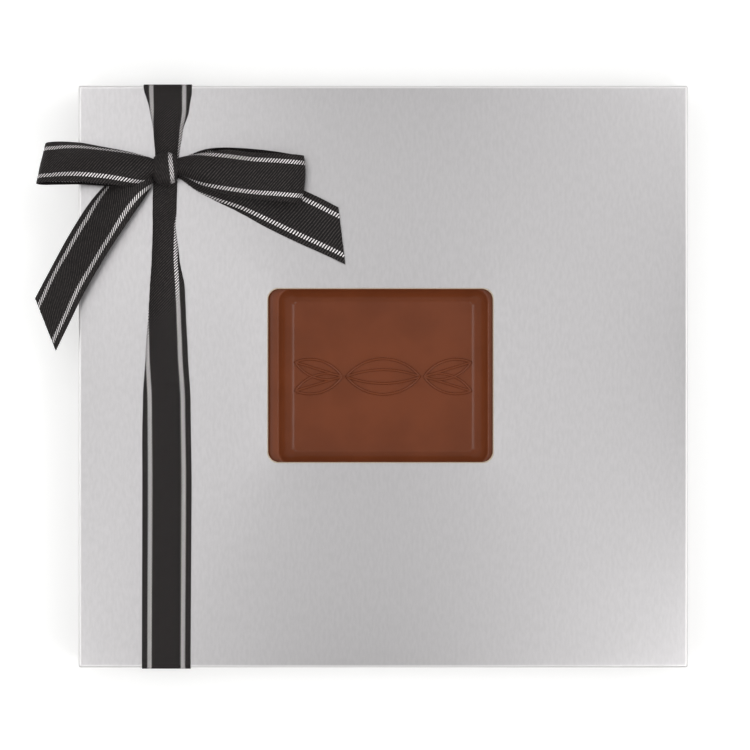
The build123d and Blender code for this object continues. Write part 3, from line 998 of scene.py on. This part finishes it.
# Band over the lid: distance up from the knot's middle, the edges that are seen and their shares
bandWidths = (
    (31.2, -8.3, 9.3, 0.0, 1.0),
    (21.2, -5.7, 7.9, 0.12, 0.93),
    (14.0, -4.5, 5.7, 0.20, 0.87),
    (4.6, -3.8, 4.4, 0.26, 0.84),
    (0.0, -3.8, 3.6, 0.30, 0.82),
    (-6.4, -4.4, 3.2, 0.29, 0.69),
    (-13.5, -4.5, 3.0, 0.31, 0.73),
    (-20.6, -4.6, 2.9, 0.36, 0.80),
    (-32.0, -5.0, 4.3, 0.34, 0.90),
    (-45.0, -5.8, 6.7, 0.25, 1.0),
    (-52.0, -6.2, 7.0, 0.20, 1.0),
    (-65.7, -7.1, 7.7, 0.14, 1.0),
    (-83.9, -8.1, 8.8, 0.04, 1.0),
    (-113.2, -8.7, 9.2, 0.0, 1.0),
    (-181.4, -8.9, 8.8, 0.0, 1.0),
)
band = {
    "lift": 0.2,  # mm, the ribbon's middle over the board
    "wallGap": 0.15,  # mm from the lid's wall to the turned-in end
    "bend": 0.5,  # mm, how far a turn reaches from its corner
    "bendSteps": 4,
    "turnIn": 12.0,  # mm
    # mm up from the knot's middle and over the board: gathered under the knot, loose below it
    "rises": ((20, 0.35), (5, 1.15), (-7, 1.15), (-30, 0.9), (-60, 0.75), (-90, 0.3)),
}


def bandPath():
    # the band's side view: up inside the lid, under its rim, over the top and down again
    wall, depth = (lidHigh.y - lidLow.y) / 2 / mm, (lidTop - lidLow.z) / mm
    knotY, lift = knotPlace.y / mm, band["lift"]
    inner, outer = wall - carton["board"] - band["wallGap"] - lift, wall + lift
    rim = [(inner, band["turnIn"] - depth), (inner, -depth - lift), (outer, -depth - lift), (outer, lift)]
    corners = rim + [(knotY + y, z) for y, z in band["rises"]] + [(-y, z) for y, z in reversed(rim)]
    return [Vector((y - knotY, z)) for y, z in corners]


def roundCorners(corners, radius):
    # points along the corners, each turn eased by an arc-like curve as long as it can be
    path = [corners[0]]
    for a, b, c in zip(corners, corners[1:], corners[2:]):
        reach = min(radius, (b - a).length * 0.45, (c - b).length * 0.45)
        start, end = b + (a - b).normalized() * reach, b + (c - b).normalized() * reach
        for step in range(band["bendSteps"] + 1):
            s = step / band["bendSteps"]
            path.append(start * (1 - s) ** 2 + b * 2 * s * (1 - s) + end * s ** 2)
    return path + [corners[-1]]


def bandRows():
    path = roundCorners(bandPath(), band["bend"])
    places, rows = [], []
    for a, b in zip(path, path[1:]):
        count = max(1, round((b - a).length / ribbonMesh["along"]))
        places += [a.lerp(b, step / count) for step in range(count)]
    for place in places + [path[-1]]:
        y = max(min(place.x, bandWidths[0][0]), bandWidths[-1][0])
        index = next(i for i in range(len(bandWidths) - 1) if bandWidths[i + 1][0] <= y)
        high, low = bandWidths[index], bandWidths[index + 1]
        share = (high[0] - y) / (high[0] - low[0])
        share = share * share * (3 - 2 * share) * 0.5 + share * 0.5  # half eased, half straight
        left, right, seenFrom, seenTo = [p + (q - p) * share for p, q in zip(high[1:], low[1:])]
        rise = boardRise(knotPlace.x / mm, knotPlace.y / mm + place.x) if place.y > 0 else 0
        rows.append((left, place.x, place.y + rise, right, place.x, place.y + rise, seenFrom, seenTo))
    return rows


knot = {
    "halfSteps": 14,
    "roundness": 2.8,  # a circle at 2, squarer above
    "tight": 0.92,  # its share of the CAD knot, seen from above
    "seen": (0.45, 0.97),  # shares of the ribbon's width at the knot's edges
    "slant": 0.03,  # how far those shift from the top of the knot to its foot
    "pinch": 0.35,  # mm narrower at the sides
}


def knotRows():
    # once round the gathered ribbon, closed under the band
    cloth = ribbonCloth["thickness"] / 2
    size = (knotHigh - knotLow) / 2 / mm
    half, deep, tall = size.x * knot["tight"], size.y * knot["tight"] - cloth, size.z - cloth
    centre = ((knotHigh.z + knotLow.z) / 2 - lidTop) / mm
    seenFrom, seenTo = knot["seen"]
    rows = []
    steps = 2 * knot["halfSteps"]
    for index in range(-steps, steps + 1):
        angle = pi / 2 + index * pi / steps
        c, s = cos(angle), sin(angle)
        y = deep * copysign(abs(c) ** (2 / knot["roundness"]), c)
        z = centre + tall * copysign(abs(s) ** (2 / knot["roundness"]), s)
        edge = half - knot["pinch"] * (y / deep) ** 2
        slant = knot["slant"] * y / deep
        rows.append((-edge, y, z, edge, y, z, seenFrom + slant, seenTo + slant))
    return rows


# each length of ribbon: its name and CAD node, its rows, the twill's lean, how it is held, what it
# rests on and its scissor cut
bow = (
    ("ribbonBand", "ribbon_band", bandRows(), 45, "stretched", "lidCarton", None),
    ("bowLoopLeft", "bow_loop_left", smoothRows(leftLoopStations), -52, "folded", "bowKnot", None),
    ("bowLoopRight", "bow_loop_right", smoothRows(rightLoopStations), -54, "folded", "bowKnot", None),
    ("bowTailLeft", "bow_tail_left", smoothRows(leftTailStations), -45, "laid", "lidCarton", leftTailCut),
    ("bowTailRight", "bow_tail_right", smoothRows(rightTailStations), -72, "laid", "lidCarton",
     rightTailCut),
    ("bowKnot", "bow_knot", knotRows(), 30, "folded", "ribbonBand", None),
)


def makeBow():
    for name, node, rows, lean, held, under, cut in bow:
        piece, run = ribbonPiece(name, node, rows, lean, cut)


makeBow()
print("ribbon tied")


# Sweets, their cups and the tray they stand in

def solidBoxes(node):
    # the lowest and highest corner of each solid of a CAD node
    mesh = bmesh.new()
    mesh.from_mesh(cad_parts[node].data)
    bmesh.ops.remove_doubles(mesh, verts=mesh.verts, dist=0.001 * mm)
    boxes, left = [], set(mesh.verts)
    for start in mesh.verts:
        if start not in left:
            continue
        left.remove(start)
        group = [start]
        for vertex in group:  # the group grows by each vertex's neighbours
            others = {edge.other_vert(vertex) for edge in vertex.link_edges} & left
            left -= others
            group += others
        boxes.append([Vector([pick(v.co[i] for v in group) for i in range(3)]) for pick in (min, max)])
    mesh.free()
    return boxes


def nodeSize(node):
    low, high = solidBoxes(node)[0]
    return high - low


def turnForm(name, profile, sides):
    # a round form: a ring extruded and resized from one radius and height to the next
    deselectAll()
    radius, height = profile[0]
    bpy.ops.mesh.primitive_circle_add(vertices=sides, radius=radius, fill_type="NGON",
                                      location=(0, 0, height))
    form = bpy.context.object
    form.name = name
    bpy.ops.object.transform_apply()
    editAll(form)
    bpy.ops.mesh.flip_normals()
    bpy.ops.mesh.select_all(action="SELECT")
    for (radiusA, heightA), (radiusB, heightB) in zip(profile, profile[1:]):
        bpy.ops.mesh.extrude_region_move(TRANSFORM_OT_translate={"value": (0, 0, heightB - heightA)})
        grow = radiusB / radiusA
        bpy.ops.transform.resize(value=(grow, grow, 1), center_override=(0, 0, heightB))
    turnOutwards()
    objectMode()
    return form


def piping(points, radius):
    # a piped line of chocolate through the points
    return roundLines([(points, False)], radius, 1)


def scatter(model, name, node, material, turn):
    # a copy of the model on the foot of every solid, each with its own mesh, joined into one piece
    copies = []
    for index, (low, high) in enumerate(solidBoxes(node)):
        copy = model.copy()
        copy.data = model.data.copy()
        bpy.context.scene.collection.objects.link(copy)
        copy.rotation_euler = (0, 0, turn * index)
        copy.location = ((low.x + high.x) / 2, (low.y + high.y) / 2, low.z)
        copies.append(copy)
    bpy.data.objects.remove(model)
    bpy.context.view_layer.update()
    joinInto(copies[0], copies[1:])
    piece = bpy.context.object
    bpy.ops.object.transform_apply()
    piece.name = name
    piece.data.name = name
    wear(piece, material)
    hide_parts(node)
    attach(piece, "base")


ball = {
    "sides": 28,
    "rings": 18,
    "swirl": (0.66, 0.04),  # its reach at the start and end, shares of the radius
    "swirlTurns": 2.6,
    "swirlSteps": 44,
    "line": 0.55,  # mm, radius of the piped line
    "sunk": 0.1,  # mm, its middle under the ball's skin
    "turn": 0.7,  # radians from one to the next
}


def makeBallTruffles():
    size = nodeSize("ball_truffles")
    radius = size.x / 2
    centre = size.z - radius
    deselectAll()
    bpy.ops.mesh.primitive_uv_sphere_add(segments=ball["sides"], ring_count=ball["rings"],
                                         radius=radius, location=(0, 0, centre))
    sweet = bpy.context.object
    bpy.ops.object.transform_apply()
    editAll(sweet)
    bpy.ops.mesh.bisect(plane_co=(0, 0, 0), plane_no=(0, 0, 1), use_fill=True, clear_inner=True)
    objectMode()
    swirl = []
    first, last = ball["swirl"]
    for step in range(ball["swirlSteps"] + 1):
        share = step / ball["swirlSteps"]
        reach = radius * (first + (last - first) * share)
        angle = share * ball["swirlTurns"] * tau
        swirl.append((reach * cos(angle), reach * sin(angle),
                      centre + sqrt(radius ** 2 - reach ** 2) - ball["sunk"] * mm))
    joinInto(sweet, [piping(swirl, ball["line"])])
    smooth(sweet, 60)
    scatter(sweet, "ballTruffles", "ball_truffles", darkChocolate, ball["turn"])


dome = {
    "sides": 28,
    "skirt": ((0.74, 0.0), (0.78, 0.04), (0.98, 0.26), (1.0, 0.32), (1.0, 0.46), (0.95, 0.51),
              (0.88, 0.53)),  # shares of the radius and the height
    "cap": (0.87, 0.53, 0.47),  # its radius, its foot and its rise, as the same shares
    "capSteps": 8,
    "tip": 0.04,
    "scores": 3,
    "scoreSteps": 16,
    "scoreSpan": 0.86,  # of the way over the cap
    "line": 0.4,  # mm, radius of a piped score
    "sunk": 0.1,  # mm
    "turn": 0.35,  # radians from one to the next
}


def makeDomeTruffles():
    size = nodeSize("dome_truffles")
    radius, height = size.x / 2, size.z
    wide, foot, rise = dome["cap"]
    profile = list(dome["skirt"])
    for step in range(1, dome["capSteps"]):
        angle = step / dome["capSteps"] * pi / 2
        profile.append((wide * cos(angle), foot + rise * sin(angle)))
    profile.append((dome["tip"], 1.0))
    sweet = turnForm("domeTruffle", [(r * radius, h * height) for r, h in profile], dome["sides"])
    scores = []
    for turn in range(dome["scores"]):
        angle = turn * pi / dome["scores"]
        arc = []
        for step in range(dome["scoreSteps"] + 1):
            lean = (step / dome["scoreSteps"] - 0.5) * pi * dome["scoreSpan"]
            reach = wide * radius * sin(lean)
            arc.append((reach * cos(angle), reach * sin(angle),
                        (foot + rise * cos(lean)) * height - dome["sunk"] * mm))
        scores.append(piping(arc, dome["line"]))
    joinInto(sweet, scores)
    smooth(sweet, 50)
    scatter(sweet, "domeTruffles", "dome_truffles", milkChocolate, dome["turn"])


praline = {
    "corner": 3.0,  # mm, as all lengths here
    "cornerSteps": 5,
    "top": 2.6,  # in from the sides to the inner square of the top
    "topSunk": 0.001,
    "round": 1.6,
    "roundFrom": 2.0,  # in from the sides, past which the top's edges stay as they are
    "roundSteps": 4,
    "lines": (-4.2, -1.4, 1.4, 4.2),  # each slanted line's place
    "lineReach": 4.6,  # of a line through the middle; the others are shorter
    "line": 0.5,  # radius
    "sunk": 0.1,
}


def makeSquarePralines():
    size = nodeSize("square_pralines")
    half = Vector((size.x / 2, size.y / 2, 0))
    sweet = addBlock("squarePraline", -half, half + Vector((0, 0, size.z)))
    choose(sweet, "EDGE", upright)
    roundEdges(praline["corner"], praline["cornerSteps"])
    choose(sweet, "FACE", lambda face: face.normal.z > 0.9)
    bpy.ops.mesh.inset(thickness=praline["top"] * mm)
    bpy.ops.transform.translate(value=(0, 0, -praline["topSunk"] * mm))
    inside = half.x - praline["roundFrom"] * mm
    choose(sweet, "EDGE", lambda edge: all(near(v.co.z, size.z) for v in edge.verts)
           and max(abs(middle(edge).x), abs(middle(edge).y)) > inside)
    roundEdges(praline["round"], praline["roundSteps"])
    objectMode()
    lines = []
    for shift in praline["lines"]:
        reach = praline["lineReach"] - abs(shift) * 0.5
        points = [((x + shift) * mm, (-x + shift) * mm, size.z - praline["sunk"] * mm)
                  for x in (-reach, 0, reach)]
        lines.append(piping(points, praline["line"]))
    joinInto(sweet, lines)
    smooth(sweet, 40)
    scatter(sweet, "squarePralines", "square_pralines", whiteChocolate, 0)


cups = {
    "flutes": 24,
    "flute": 0.26,  # mm, how far a flute stands in and out
    "fluteFrom": 4.0,  # mm up where a flute has its full depth
    "paper": 0.12,  # mm
    "foot": ((1.2, 0.0), (0.4, 0.02), (0.2, 0.8)),  # mm in from the CAD cup's foot and up
    "wall": (0.35, 0.7, 1.0),  # shares of the way up to the rim
    "turn": 0.21,  # radians from one to the next
}


def cupFootRadius():
    # the CAD cup's radius at its foot, from its lowest vertices
    low, high = solidBoxes("candy_cups")[0]
    centre = (low + high) / 2
    reach = [hypot(v.co.x - centre.x, v.co.y - centre.y)
             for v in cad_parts["candy_cups"].data.vertices if near(v.co.z, low.z)]
    return max(r for r in reach if r < (high.x - low.x) / 2)


def fluteNumber(place, sides):
    return round(atan2(place.y, place.x) / tau * sides) % sides


def makeCups():
    size = nodeSize("candy_cups")
    rim, foot, flute = size.x / 2, cupFootRadius(), cups["flute"] * mm
    sides = 2 * cups["flutes"]
    levels = [(foot - inset * mm, height * mm) for inset, height in cups["foot"]]
    levels += [(foot + (rim - foot) * share - flute, size.z * share) for share in cups["wall"]]
    cup = turnForm("sweetCup", levels, sides)
    choose(cup, "FACE", lambda face: face.normal.z > 0.9 and face.calc_center_median().z > size.z / 2)
    bpy.ops.mesh.delete(type="ONLY_FACE")
    for way, parity in ((1, 0), (-1, 1)):
        for radius, height in levels[2:]:
            choose(cup, "VERT", lambda v: near(v.co.z, height) and fluteNumber(v.co, sides) % 2 == parity)
            grow = 1 + way * flute / radius * min(1.0, height / (cups["fluteFrom"] * mm))
            bpy.ops.transform.resize(value=(grow, grow, 1), center_override=(0, 0, height))
    objectMode()
    finishWith(cup, "SOLIDIFY", thickness=cups["paper"] * mm, offset=0)
    smooth(cup, 25)
    scatter(cup, "sweetCups", "candy_cups", cupPaper, cups["turn"])


makeBallTruffles()
makeDomeTruffles()
makeSquarePralines()
makeCups()
print("sweets in their cups")

wear(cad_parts["tray"], trayPlastic)
wear(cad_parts["ribbon_tapes"], tapePaper)

bpy.context.scene.view_settings.view_transform = "Standard"

bpy.context.view_layer.update()
